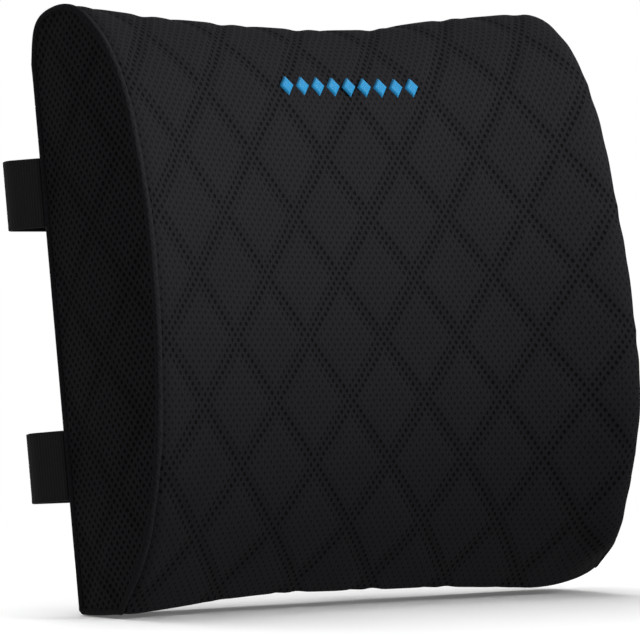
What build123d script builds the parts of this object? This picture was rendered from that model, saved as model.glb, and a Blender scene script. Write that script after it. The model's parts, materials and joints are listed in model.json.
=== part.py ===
"""A lumbar support cushion that straps to the back of a chair.

Everything is drawn in the cushion's own frame: the back lies on Y = 0, the front faces -Y, X runs across and
Z runs up the back. At the end each piece is leaned back and moved so that the cushion stands on Z = 0.
"""
import os
from math import atan2, cos, radians, sin, tan

from build123d import *

# the cushion
WIDTH = 331
HEIGHT = 323
LEAN = 8.2  # degrees it leans back as it stands on its foot
CREST_DEPTH = 31  # from the back to the highest line of the top
BACK_CORNER = 28  # height over which the back rounds into the top
TOP_DIP = 10  # how much lower the middle of the top is than its ends
BOTTOM_RISE = 8  # how much higher the middle of the bottom is than its ends
FOOT_BACK = 2.5
FOOT_FRONT = 36
# down the front: (share of the height, depth at the ends, how much shallower the middle is)
FRONT = [
    (0.95, 58, 6),
    (0.88, 73, 11),
    (0.76, 84, 18),
    (0.58, 90, 21),
    (0.40, 87, 17),
    (0.22, 77, 11),
    (0.09, 60, 5),
]
COVER = 2.5
GAP = 0.3
LINER_INSET = 4.0
LINER = 0.8

# the zip across the back
ZIP_Z = 30
ZIP_OPENING = 12
ZIP_END = 148
TAPE_WIDTH = 10.8
TAPE = 0.8
COIL_END = 145
SLIDER_X = -138

# the woven badge on the front
BADGE_Z = 276
BADGE_COUNT = 9
BADGE_PITCH = 11
BADGE_HALF_WIDTH = 4.6
BADGE_HALF_HEIGHT = 5.5

# the two straps behind the back
STRAP_HEIGHTS = {"lower": 82, "upper": 227}
WEBBING_WIDTH = 37
WEBBING = 1.6
STRAP_GAP = 17  # from the back to the middle of the webbing
SEWN_END_X = 150
LOOP_OUT = 21.5
BEND_RADIUS = 4
TURN_RADIUS = 3.1  # of the webbing's middle around a bar
BUCKLE_X = 20  # the mouth of the buckle's socket
BAR_RADIUS = 2
MALE_BAR_X = BUCKLE_X - 14.5
FEMALE_BAR_X = BUCKLE_X + 37.3
KEEPER_X = MALE_BAR_X - 42
TAIL_END_X = MALE_BAR_X - 96
PRONG_HINGE = (2.2, 16)  # from the mouth, and from the buckle's middle
PRONG_RADIUS = 2.2


def box(x, y, z):
    """A box from its limits along each axis."""
    centre = [(low + high) / 2 for low, high in (x, y, z)]
    size = [high - low for low, high in (x, y, z)]
    return Pos(*centre) * Box(*size)


def outline_points(x, inset):
    """The top and front of the cushion's outline at x, from the back over the top and down to the foot."""
    middle = 1 - (2 * x / WIDTH) ** 2
    top = HEIGHT - TOP_DIP * middle
    bottom = BOTTOM_RISE * middle
    points = [(0, top - BACK_CORNER), (-CREST_DEPTH * 0.3, top - BACK_CORNER * 0.28), (-CREST_DEPTH, top)]
    points += [(sag * middle - depth, bottom + share * (top - bottom)) for share, depth, sag in FRONT]
    points += [(-FOOT_FRONT, bottom + foot_height(-FOOT_FRONT))]
    moved = []
    for n, (y, z) in enumerate(points):
        before = points[max(n - 1, 0)]
        after = points[min(n + 1, len(points) - 1)]
        along = atan2(after[1] - before[1], after[0] - before[0])
        if n == 0:
            along = radians(90)
        moved += [(y - inset * sin(along), z + inset * cos(along))]
    moved[0] = (-inset, top - BACK_CORNER)
    moved[-1] = (-FOOT_FRONT + 0.4 * inset, points[-1][1] + inset)
    return moved


def foot_height(y):
    """The foot slopes so that it is level once the cushion leans back."""
    return (y + (FOOT_BACK + FOOT_FRONT) / 2) * tan(radians(LEAN))


def outline(x, inset):
    """The D-shaped outline at x, moved inwards by inset, as a face across X."""
    points = outline_points(x, inset)
    middle = 1 - (2 * x / WIDTH) ** 2
    heel = (-FOOT_BACK - inset, BOTTOM_RISE * middle + foot_height(-FOOT_BACK) + inset)
    back_low = (-inset, heel[1] + FOOT_BACK)
    down_the_front = Spline(points)
    foot = Line(points[-1], heel)
    corner = Line(heel, back_low)
    back = Line(back_low, points[0])
    return Plane.YZ.offset(x) * make_face([down_the_front, foot, corner, back])


def cushion_block(inset):
    """The cushion's whole shape, moved inwards by inset on every side."""
    end = WIDTH / 2 - inset
    return loft([outline(share * end, inset) for share in (-1, -0.5, 0, 0.5, 1)])


def cover_pieces():
    """The cover's panels around the liner and the foam."""
    outer = cushion_block(0)
    shell = outer - cushion_block(COVER)
    inside_end = WIDTH / 2 - COVER - GAP
    tall = (-20, HEIGHT + 20)
    deep = (-120, 20)
    between_gussets = box((-inside_end, inside_end), deep, tall)
    behind = box((-inside_end, inside_end), (-COVER, 20), tall)
    zip_low = ZIP_Z - ZIP_OPENING / 2
    zip_high = ZIP_Z + ZIP_OPENING / 2
    back = outer & behind
    zip_hole = box((-ZIP_END - 2, ZIP_END + 2), deep, (zip_low, zip_high))
    lowest = box((-200, 200), deep, (-20, zip_low))
    return {
        "front_panel": (shell & between_gussets) - box((-200, 200), (-COVER - GAP, 20), tall),
        "left_gusset": extrude(outline(-WIDTH / 2, 0), COVER, dir=(1, 0, 0)),
        "right_gusset": extrude(outline(WIDTH / 2, 0), COVER, dir=(-1, 0, 0)),
        "back_panel": back - zip_hole - lowest,
        "back_hem": (back & lowest) - box((-200, 200), deep, (zip_low - GAP, zip_low + 1)),
    }


def filling_pieces():
    """The foam block and the thin bag around it."""
    return {
        "foam_core": cushion_block(LINER_INSET + LINER + GAP),
        "inner_liner": cushion_block(LINER_INSET) - cushion_block(LINER_INSET + LINER),
    }


def zip_pieces():
    """Two tapes with a coil on each, and a stop at each end."""
    pieces = {}
    for name, side in (("lower", -1), ("upper", 1)):
        tape_z = sorted([ZIP_Z + side * 0.2, ZIP_Z + side * (0.2 + TAPE_WIDTH)])
        coil_z = sorted([ZIP_Z + side * 0.1, ZIP_Z + side * 2.6])
        pieces[f"zip_tape_{name}"] = box((-ZIP_END, ZIP_END), (-COVER - GAP - TAPE, -COVER - GAP), tape_z)
        coil = box((-COIL_END, COIL_END), (-COVER - 0.2, -0.3), coil_z)
        pieces[f"zip_coil_{name}"] = fillet(coil.edges().filter_by(Axis.X).group_by(Axis.Y)[-1], 0.8)
    for name, side in (("left", -1), ("right", 1)):
        stop_x = sorted([side * (COIL_END + 0.3), side * (ZIP_END - 0.2)])
        pieces[f"zip_stop_{name}"] = box(stop_x, (-COVER, 0.2), (ZIP_Z - 3, ZIP_Z + 3))
    return pieces


def zip_slider():
    """A plate with a flange down each side of the coils, and an arch for the pull."""
    plate = box((-6, 6), (0.1, 1.6), (-4.5, 4.5))
    plate = fillet(plate.edges().filter_by(Axis.Y), 2)
    flanges = box((-5, 5), (-2.3, 0.2), (-4.5, -3.1)) + box((-5, 5), (-2.3, 0.2), (3.1, 4.5))
    arch = box((-3.5, 3.5), (1.5, 4.4), (-1, 1)) - box((-2, 2), (1.6, 3.2), (-2, 2))
    return Pos(SLIDER_X, 0, ZIP_Z) * (plate + flanges + arch)


def zip_pull():
    """A thin tab on two arms, joined by a pin through the slider's arch."""
    pin = Cylinder(0.6, 5.6)
    arms = [box((0, 9), (-0.5, 0.5), z) + Pos(0, 0, sum(z) / 2) * Cylinder(0.5, 1.4) for z in ((-2.8, -1.4), (1.4, 2.8))]
    tab = box((8, 30), (-0.5, 0.5), (-4, 4))
    tab = fillet(tab.edges().filter_by(Axis.Y), 2.5)
    hole = Pos(25, 0, 0) * Rot(90, 0, 0) * Cylinder(1.8, 3)
    return Pos(SLIDER_X, 2.4, ZIP_Z) * (pin + arms[0] + arms[1] + tab - hole)


def badge():
    """A row of plain woven diamonds that follows the front."""
    skin = cushion_block(-1.0) - cushion_block(-0.3)
    half_width, half_height = BADGE_HALF_WIDTH, BADGE_HALF_HEIGHT
    diamond = Polygon((half_width, 0), (0, half_height), (-half_width, 0), (0, -half_height), align=None)
    cutter = extrude(Plane.XZ * diamond, 120)
    places = [(n - (BADGE_COUNT - 1) / 2) * BADGE_PITCH for n in range(BADGE_COUNT)]
    return [skin & (Pos(x, 0, BADGE_Z) * cutter) for x in places]


def care_label():
    """A blank fabric label, sewn to the back near its top right corner."""
    label = box((95, 125), (0.15, 0.75), (252, 290))
    return fillet(label.edges().filter_by(Axis.Y), 1.5)


def webbing(path, height):
    """Webbing of even thickness along a path seen from above."""
    band = offset(path, WEBBING / 2, side=Side.BOTH)
    return Pos(0, 0, height) * extrude(make_face(band), WEBBING_WIDTH / 2, both=True)


def strap_path(side, bar_x, back_again):
    """From the sewn end out past the cushion's edge, behind it to a bar, round the bar and back again."""
    edge = WIDTH / 2
    out = [(SEWN_END_X, WEBBING / 2 + 0.15), (edge - 0.2, WEBBING / 2 + 0.15), (edge + LOOP_OUT, STRAP_GAP)]
    out = [(side * x, y) for x, y in out] + [(bar_x, STRAP_GAP)]
    behind = FilletPolyline(*out, radius=BEND_RADIUS)
    far_side = STRAP_GAP + 2 * TURN_RADIUS
    tip = (bar_x - side * TURN_RADIUS, STRAP_GAP + TURN_RADIUS)
    turn = ThreePointArc((bar_x, STRAP_GAP), tip, (bar_x, far_side))
    home = [(bar_x + side * along, STRAP_GAP + apart) for along, apart in back_again]
    tail = FilletPolyline((bar_x, far_side), (home[0][0], far_side), *home[1:], radius=BEND_RADIUS)
    return Wire(behind.edges() + turn.edges() + tail.edges())


def adjustable_webbing(height):
    """The left webbing, with a long free tail."""
    tail = [(7, 2 * TURN_RADIUS), (17, 2.1), (MALE_BAR_X - TAIL_END_X, 2.1)]
    return webbing(strap_path(-1, MALE_BAR_X, tail), height)


def fixed_webbing(height):
    """The right webbing, sewn back on itself."""
    tail = [(7, 2 * TURN_RADIUS), (17, 1.8), (45, 1.8)]
    return webbing(strap_path(1, FEMALE_BAR_X, tail), height)


def both_sides(solid):
    """A piece and its mirror image across the buckle's middle."""
    return solid + mirror(solid, Plane.XY)


def buckle_socket():
    """The hollow half, with a window for each prong and a bar for the webbing."""
    shell = box((0, 29.5), (-5.5, 5.5), (-23, 23))
    shell = fillet(shell.edges().filter_by(Axis.X), 3)
    shell -= box((-1, 27), (-3.2, 3.2), (-19, 19))
    windows = both_sides(box((14, 26), (-3.6, 3.6), (18, 24)))
    arms = both_sides(box((29, FEMALE_BAR_X - BUCKLE_X), (-BAR_RADIUS, BAR_RADIUS), (19.5, 23)))
    bar = Pos(FEMALE_BAR_X - BUCKLE_X, 0, 0) * Cylinder(BAR_RADIUS, 46)
    return shell - windows + arms + bar


def buckle_plug():
    """The solid half: a shoulder, a guide tongue, and a frame with a bar for the webbing."""
    shoulder = box((-9, -0.3), (-4.5, 4.5), (-23, 23))
    shoulder = fillet(shoulder.edges().filter_by(Axis.X), 2.5)
    tongue = box((-1, 22), (-2.6, 2.6), (-3.5, 3.5))
    tongue = chamfer(tongue.edges().filter_by(Axis.Y).group_by(Axis.X)[-1], 2)
    arms = both_sides(box((-22.2, -8), (-BAR_RADIUS, BAR_RADIUS), (19.5, 23)))
    bar = Pos(MALE_BAR_X - BUCKLE_X, 0, 0) * Cylinder(BAR_RADIUS, 46)
    end_bar = box((-22.2, -20.2), (-1.2, 1.2), (-23, 23))
    return shoulder + tongue + arms + bar + end_bar


def buckle_prong():
    """A springy arm with a hooked head that fills the socket's window."""
    hinge_x, hinge_z = PRONG_HINGE
    inner = hinge_z - PRONG_RADIUS
    outer = hinge_z + PRONG_RADIUS
    shape = [(hinge_x, inner), (25, inner), (25, outer), (20, 21), (14.6, 21), (14.6, outer), (hinge_x, outer)]
    arm = extrude(Plane.XZ * Polygon(*shape, align=None), 2.6, both=True)
    root = Pos(hinge_x, 0, hinge_z) * Rot(90, 0, 0) * Cylinder(PRONG_RADIUS, 5.2)
    return arm + root


def webbing_keeper():
    """A ring that slides along the webbing and holds its tail down."""
    low = STRAP_GAP - WEBBING / 2 - 0.4
    high = STRAP_GAP + 2.1 + WEBBING / 2 + 0.4
    ring = box((-4, 4), (low - 1.8, high + 1.8), (-20.7, 20.7))
    ring = fillet(ring.edges().filter_by(Axis.X), 1.5)
    return ring - box((-5, 5), (low, high), (-18.9, 18.9))


def strap_pieces(name, height):
    """One strap: two webbings, a keeper and a side-release buckle."""
    at_buckle = Pos(BUCKLE_X, STRAP_GAP + TURN_RADIUS, height)
    prong = buckle_prong()
    return {
        f"{name}_webbing_left": adjustable_webbing(height),
        f"{name}_webbing_right": fixed_webbing(height),
        f"{name}_keeper": Pos(KEEPER_X, 0, height) * webbing_keeper(),
        f"{name}_buckle_socket": at_buckle * buckle_socket(),
        f"{name}_buckle_plug": at_buckle * buckle_plug(),
        f"{name}_prong_top": at_buckle * prong,
        f"{name}_prong_bottom": at_buckle * mirror(prong, Plane.XY),
    }


def all_pieces():
    """Every piece by name, in the cushion's own frame."""
    pieces = {}
    pieces.update(filling_pieces())
    pieces.update(cover_pieces())
    pieces.update(zip_pieces())
    pieces["zip_slider"] = zip_slider()
    pieces["zip_pull"] = zip_pull()
    pieces["badge"] = Compound(badge())
    pieces["care_label"] = care_label()
    for name, height in STRAP_HEIGHTS.items():
        pieces.update(strap_pieces(name, height))
    return pieces


def standing(pieces):
    """The pieces leaned back and moved so that the whole stands on Z = 0 with its middle over the origin."""
    leaned = {name: Rot(-LEAN, 0, 0) * piece for name, piece in pieces.items()}
    limits = Compound([solid for piece in leaned.values() for solid in piece.solids()]).bounding_box()
    to_origin = Pos(-limits.center().X, -limits.center().Y, -limits.min.Z)
    return {name: to_origin * piece for name, piece in leaned.items()}


os.makedirs("parts", exist_ok=True)
for name, piece in standing(all_pieces()).items():
    export_step(piece, f"parts/{name}.step")
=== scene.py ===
"""The look of the lumbar support cushion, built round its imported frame.

Shapes are worked out in the cushion's own frame, in millimetres: the back lies on Y = 0, the front faces
-Y, X runs across and Z runs up the back. to_row() leans them back into the frame's own coordinates.
"""
import json
import math

import bmesh
import bpy
import numpy as np
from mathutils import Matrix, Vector


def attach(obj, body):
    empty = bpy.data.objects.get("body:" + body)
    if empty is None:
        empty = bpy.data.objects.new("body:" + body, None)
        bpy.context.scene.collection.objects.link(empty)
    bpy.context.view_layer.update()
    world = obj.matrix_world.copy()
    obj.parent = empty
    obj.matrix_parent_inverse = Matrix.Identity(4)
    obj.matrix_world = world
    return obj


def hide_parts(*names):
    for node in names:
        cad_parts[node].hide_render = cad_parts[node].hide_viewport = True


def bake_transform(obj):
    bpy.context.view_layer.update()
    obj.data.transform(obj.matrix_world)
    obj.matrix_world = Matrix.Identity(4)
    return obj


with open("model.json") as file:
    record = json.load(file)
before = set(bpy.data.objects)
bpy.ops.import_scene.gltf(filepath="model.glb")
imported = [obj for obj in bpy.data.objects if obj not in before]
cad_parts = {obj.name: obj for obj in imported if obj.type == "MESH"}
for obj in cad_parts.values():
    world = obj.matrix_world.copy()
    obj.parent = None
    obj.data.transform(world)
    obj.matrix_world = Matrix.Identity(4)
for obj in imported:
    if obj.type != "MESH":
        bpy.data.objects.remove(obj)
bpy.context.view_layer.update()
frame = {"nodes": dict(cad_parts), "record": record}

# the cushion's size and outline, as in its CAD
WIDTH = 331
HEIGHT = 323
LEAN = 8.2
CREST_DEPTH = 31
BACK_CORNER = 28
TOP_DIP = 10
BOTTOM_RISE = 8
FOOT_BACK = 2.5
FOOT_FRONT = 36
# down the front: the share of the height, the depth at the ends, and how much less it is in the middle
FRONT = [
    (0.95, 58, 6),
    (0.88, 73, 11),
    (0.76, 84, 18),
    (0.58, 90, 21),
    (0.40, 87, 17),
    (0.22, 77, 11),
    (0.09, 60, 5),
]

# seams and relief
ROLL_RADIUS_BACK = 1.7
ROLL_INSET_BACK = 2.2
WELT_RADIUS = 1.3
# for the left and right seams of the front panel: the roll's radius, how far its middle lies inside the
# outline, how far from the cushion's side the panel ends, how far it drops there, and over what distance
SEAMS = {
    -1: {"radius": 2.0, "inset": 2.4, "edge": 3.6, "drop": 4.0, "reach": 8},
    1: {"radius": 1.5, "inset": 8.0, "edge": 1.0, "drop": 8.0, "reach": 15},
}
QUILT_WIDTH = 52.8
QUILT_HEIGHT = 66.0
QUILT_ROW_Z = 138  # a row of the front's quilting has a crossing here, in the middle
QUILT_DEPTH = 1.0
QUILT_GROOVE = 4.0
GUSSET_QUILT_WIDTH = 52
GUSSET_QUILT_HEIGHT = 70
GUSSET_QUILT_Y = -45  # a crossing of the gusset's quilting lies here
GUSSET_QUILT_Z = 64
GUSSET_BULGE = 3.0
COVER = 2.2
STEP = 2.0
BACK_INSET = 3.2  # how far the back's plain sheets stop short of the cushion's sides
FILLING_STEP = 5.0
FOAM_INSET = 5.6
LINER_INSET = 4.8
STITCH_LENGTH = 2.8
STITCH_SPACE = 0.9
STITCH_RADIUS = 0.36

# the zip
ZIP_Z = 30
ZIP_OPENING = 12
ZIP_END = 148
COIL_END = 145
COIL_PITCH = 1.5
COIL_Y = -1.5
COIL_OFFSET = 1.35  # from the zip's middle to the middle of each coil
COIL_REACH = 1.45
COIL_RISE = 0.85
COIL_THREAD = 0.34
TAPE_Y = -2.7
TAPE_WIDTH = 11
GARAGE_START = 146
GARAGE_HALF_HEIGHT = 9

# the badge
BADGE_Z = 276
BADGE_COUNT = 9
BADGE_PITCH = 11
BADGE_HALF_WIDTH = 4.7
BADGE_HALF_HEIGHT = 5.6
BADGE_RINGS = 7
BADGE_SPOKES = 32

# the care label
LABEL_LEFT, LABEL_RIGHT = 95, 125
LABEL_LOW, LABEL_HIGH = 252, 290

# the straps
STRAP_HEIGHTS = {"lower": 82, "upper": 227}
WEBBING_WIDTH = 37
WEBBING = 1.6
STRAP_GAP = 17  # from the back to the straps
SEWN_END_X = 150
LOOP_OUT = 21.5
BEND_RADIUS = 4
TURN_RADIUS = 3.1
MALE_BAR_X = 5.5
FEMALE_BAR_X = 57.3
TAIL_LENGTH = 96
TAIL_GAP = 2.1  # from the middle of the webbing to the tail that lies on it
SEWN_GAP = 1.8  # the same where the webbing is sewn back on itself
STRAP_STEP = 0.8

# the camera: a long lens a little left of the front, in metres
EYE = Vector((-1.8487, -2.2134, 0.1999))
TARGET = Vector((0.0008, 0.0068, 0.1532))
LENS = 298.7
SENSOR = 36

OUT_OF_BACK = np.array([0.0, 1.0, 0.0])  # in the cushion's frame

CHAIR_BACK = next(m for m in frame["record"]["mounts"] if m["name"] == "chair_back")
CHAIR_BACK_Z = 151
ACROSS = np.array([1.0, 0.0, 0.0])
BACKWARDS = np.array(CHAIR_BACK["axis"])
UPWARDS = np.cross(ACROSS, BACKWARDS)
ORIGIN = np.array(CHAIR_BACK["pos_m"]) - UPWARDS * CHAIR_BACK_Z / 1000


def to_row(points):
    """Points of the cushion's frame, in millimetres, as points of the row frame, in metres."""
    points = np.asarray(points, float) / 1000
    return ORIGIN + points[..., :1] * ACROSS + points[..., 1:2] * BACKWARDS + points[..., 2:3] * UPWARDS


# ---- curves and grids ----


def natural_spline(knots, values, at):
    """A smooth curve through values at knots, read at each place in at."""
    count = len(knots)
    step = np.diff(knots)
    system = np.eye(count)
    pull = np.zeros_like(values)
    for n in range(1, count - 1):
        system[n, n - 1 : n + 2] = step[n - 1], 2 * (step[n - 1] + step[n]), step[n]
        ahead = (values[n + 1] - values[n]) / step[n]
        behind = (values[n] - values[n - 1]) / step[n - 1]
        pull[n] = 6 * (ahead - behind)
    bend = np.linalg.solve(system, pull)
    span = np.clip(np.searchsorted(knots, at, side="right") - 1, 0, count - 2)
    late = ((at - knots[span]) / step[span])[:, None]
    early = 1 - late
    curved = (early**3 - early) * bend[span] + (late**3 - late) * bend[span + 1]
    return early * values[span] + late * values[span + 1] + curved * step[span][:, None] ** 2 / 6


def points_of(*coordinates):
    """Points from their separate coordinates."""
    return np.stack(np.broadcast_arrays(*coordinates), axis=-1)


def unit(vectors):
    """The same directions with length 1."""
    return vectors / np.linalg.norm(vectors, axis=-1, keepdims=True)


def lengths_along(points):
    """The distance along a path to each of its points."""
    return np.concatenate([[0], np.cumsum(np.linalg.norm(np.diff(points, axis=0), axis=1))])


def read_path(points, along, places):
    """The points of a path at the given distances along it."""
    return np.stack([np.interp(places, along, points[:, k]) for k in range(points.shape[1])], axis=1)


def evenly(points, step):
    """The same path with points about step apart."""
    along = lengths_along(points)
    places = np.linspace(0, along[-1], max(2, round(along[-1] / step) + 1))
    return read_path(points, along, places)


def smooth_step(low, high, value):
    """0 up to low, 1 from high, and smooth between."""
    share = np.clip((value - low) / (high - low), 0, 1)
    return share * share * (3 - 2 * share)


def foot_height(y):
    """The foot slopes so that it is level once the cushion leans back."""
    return (y + (FOOT_BACK + FOOT_FRONT) / 2) * math.tan(math.radians(LEAN))


def outline_knots(middle):
    """The outline over the top and down the front, at the ends (middle 0) or in the middle (1)."""
    top = HEIGHT - TOP_DIP * middle
    bottom = BOTTOM_RISE * middle
    shoulder = (-CREST_DEPTH * 0.3, top - BACK_CORNER * 0.28)
    points = [(0, top - BACK_CORNER), shoulder, (-CREST_DEPTH, top)]
    points += [(sag * middle - depth, bottom + share * (top - bottom)) for share, depth, sag in FRONT]
    points += [(-FOOT_FRONT, bottom + foot_height(-FOOT_FRONT))]
    return np.array(points, float)


def heel(middle):
    """Where the foot ends and the back begins."""
    return np.array([[-FOOT_BACK, BOTTOM_RISE * middle + foot_height(-FOOT_BACK)]])


def front_outlines(step):
    """The front panel's outline at the ends and in the middle, point for point, from the back over the
    top, down the front and along the foot."""
    knots = lengths_along(outline_knots(0))
    fine = np.linspace(0, knots[-1], 1200)
    lines = [np.vstack([natural_spline(knots, outline_knots(m), fine), heel(m)]) for m in (0, 1)]
    along = lengths_along(lines[0])
    places = np.linspace(0, along[-1], round(along[-1] / step) + 1)
    return [read_path(line, along, places) for line in lines]


def middle_share(x):
    """1 in the middle of the cushion and 0 at its ends."""
    return 1 - (2 * np.asarray(x) / WIDTH) ** 2


def front_surface(x, step):
    """The front's plain surface as a grid of points: down the outline, and across at each x."""
    end, middle = front_outlines(step)
    flat = end[:, None] + middle_share(x)[None, :, None] * (middle - end)[:, None]
    return points_of(x[None], flat[..., 0], flat[..., 1])


def grid_normals(grid):
    """Unit normals of a grid of points, from its rows and columns."""
    return unit(np.cross(np.gradient(grid, axis=1), np.gradient(grid, axis=0)))


def quilt_distance(u, v, width, height):
    """The distance from each point to the nearest line of a lattice of diamonds."""
    falling = np.abs((u / width + v / height + 0.5) % 1 - 0.5)
    rising = np.abs((u / width - v / height + 0.5) % 1 - 0.5)
    return np.minimum(falling, rising) / math.hypot(1 / width, 1 / height)


def wander(u, v, size, seed):
    """Gentle unevenness, from -1 to 1, that changes over about size."""
    waves = np.random.default_rng(seed).uniform(-1, 1, (7, 3))
    total = sum(np.sin((a * u + b * v) * 2 * math.pi / size + 6 * c) for a, b, c in waves)
    return total / 7


# ---- meshes ----


def new_piece(name, points, faces, surface, material, closed=True):
    """A piece from points in the row frame, with its flat coordinates (in units of 100 mm) as a UV map.
    The faces of a closed piece are turned outwards."""
    mesh = bpy.data.meshes.new(name)
    mesh.from_pydata([tuple(p) for p in points], [], faces)
    if closed:
        shell = bmesh.new()
        shell.from_mesh(mesh)
        bmesh.ops.recalc_face_normals(shell, faces=shell.faces)
        shell.to_mesh(mesh)
        shell.free()
    if surface is not None:
        layer = mesh.uv_layers.new(name="flat")
        corners = np.zeros(len(mesh.loops), dtype=int)
        mesh.loops.foreach_get("vertex_index", corners)
        layer.data.foreach_set("uv", (np.asarray(surface)[corners] / 100).ravel())
    mesh.polygons.foreach_set("use_smooth", [True] * len(mesh.polygons))
    mesh.materials.append(material)
    mesh.update()
    piece = bpy.data.objects.new(name, mesh)
    bpy.context.scene.collection.objects.link(piece)
    return piece


def grid_faces(rows, columns, wrap_rows=False, wrap_columns=False, first=0):
    """The faces of a grid of points numbered row by row, joined up at its ends if it wraps."""
    faces = []
    for row in range(rows if wrap_rows else rows - 1):
        for column in range(columns if wrap_columns else columns - 1):
            below = (row + 1) % rows
            beside = (column + 1) % columns
            corners = (row, column), (below, column), (below, beside), (row, beside)
            faces.append([first + r * columns + c for r, c in corners])
    return faces


def grid_piece(name, grid, flat, material, thickness=COVER, flip=False):
    """A sheet with some thickness from a grid of points, in the cover's plumped shape. flat holds its two
    flat coordinates."""
    grid = plump(grid)
    rows, columns = grid.shape[:2]
    faces = grid_faces(rows, columns)
    if flip:
        faces = [face[::-1] for face in faces]
    surface = points_of(*flat).reshape(-1, 2)
    piece = new_piece(name, to_row(grid.reshape(-1, 3)), faces, surface, material, closed=False)
    solid = piece.modifiers.new("thickness", "SOLIDIFY")
    solid.thickness = thickness / 1000
    solid.offset = -1
    return piece


def swept_piece(name, path, sides, outwards, ring, material, closed=False, flatten=None):
    """A ring of points carried along a path. sides and outwards are unit vectors, and ring gives
    (along sides, along outwards) for each of its points, all once or for each place on the path.
    flatten gives the flat coordinates of the points; otherwise they run along the path and round it."""
    sides, outwards = (np.broadcast_to(way, path.shape) for way in (sides, outwards))
    ring = np.broadcast_to(ring, (len(path),) + ring.shape[-2:])
    grid = path[:, None] + ring[..., :1] * sides[:, None] + ring[..., 1:] * outwards[:, None]
    rows, columns = grid.shape[:2]
    faces = grid_faces(rows, columns, wrap_rows=closed, wrap_columns=True)
    if not closed:
        faces.append(list(range(columns)))
        faces.append(list(range(rows * columns - 1, (rows - 1) * columns - 1, -1)))
    if flatten:
        surface = flatten(grid)
    else:
        round_it = lengths_along(np.vstack([ring[0], ring[0, :1]]))[:-1]
        surface = points_of(lengths_along(path)[:, None], round_it[None])
    return new_piece(name, to_row(grid.reshape(-1, 3)), faces, surface.reshape(-1, 2), material)


def circle(radius, count):
    """Points round a circle."""
    turn = np.linspace(0, 2 * math.pi, count, endpoint=False)
    return points_of(np.cos(turn), np.sin(turn)) * radius


def rounded_bar(width, thickness, count):
    """The section of a flat band with round edges, as points round it."""
    half, edge = width / 2 - thickness / 2, thickness / 2
    flat = np.linspace(-half, half, count)
    turn = np.linspace(-math.pi / 2, math.pi / 2, 5)[1:-1]
    right = points_of(half + edge * np.cos(turn), edge * np.sin(turn))
    low = points_of(flat, -edge)
    return np.vstack([low, right, -low, -right])


def directions(path, closed=False):
    """Unit vectors along a path."""
    if closed:
        along = np.roll(path, -1, axis=0) - np.roll(path, 1, axis=0)
    else:
        along = np.gradient(path, axis=0)
    return unit(along)


def stitches(name, rows, material, length=STITCH_LENGTH):
    """Sewn stitches: a short round thread for each one along every row of (points, outward normal)."""
    shares = np.array([0, 0.18, 0.5, 0.82, 1])
    height = np.array([-0.5, 0.5, 0.8, 0.5, -0.5]) * STITCH_RADIUS
    width = np.array([0.35, 1, 1, 1, 0.35]) * STITCH_RADIUS
    sides = 6
    ring = circle(1, sides)
    points, faces = [], []
    for path, normal in rows:
        path = np.asarray(path, float)
        along = lengths_along(path)
        for start in np.arange(STITCH_SPACE, along[-1] - length, length + STITCH_SPACE):
            line = read_path(path, along, start + length * shares)
            side = np.cross(unit(line[-1] - line[0]), normal)
            round_it = ring[:, :1] * side + ring[:, 1:] * normal
            first = len(points)
            for place, up, wide in zip(line, height, width):
                points += list(place + normal * up + wide * round_it)
            last = len(points)
            faces += grid_faces(len(line), sides, wrap_columns=True, first=first)
            faces.append(list(range(first, first + sides)))
            faces.append(list(range(last - 1, last - sides - 1, -1)))
    return new_piece(name, to_row(np.array(points)), faces, None, material)


# ---- materials ----


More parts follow.
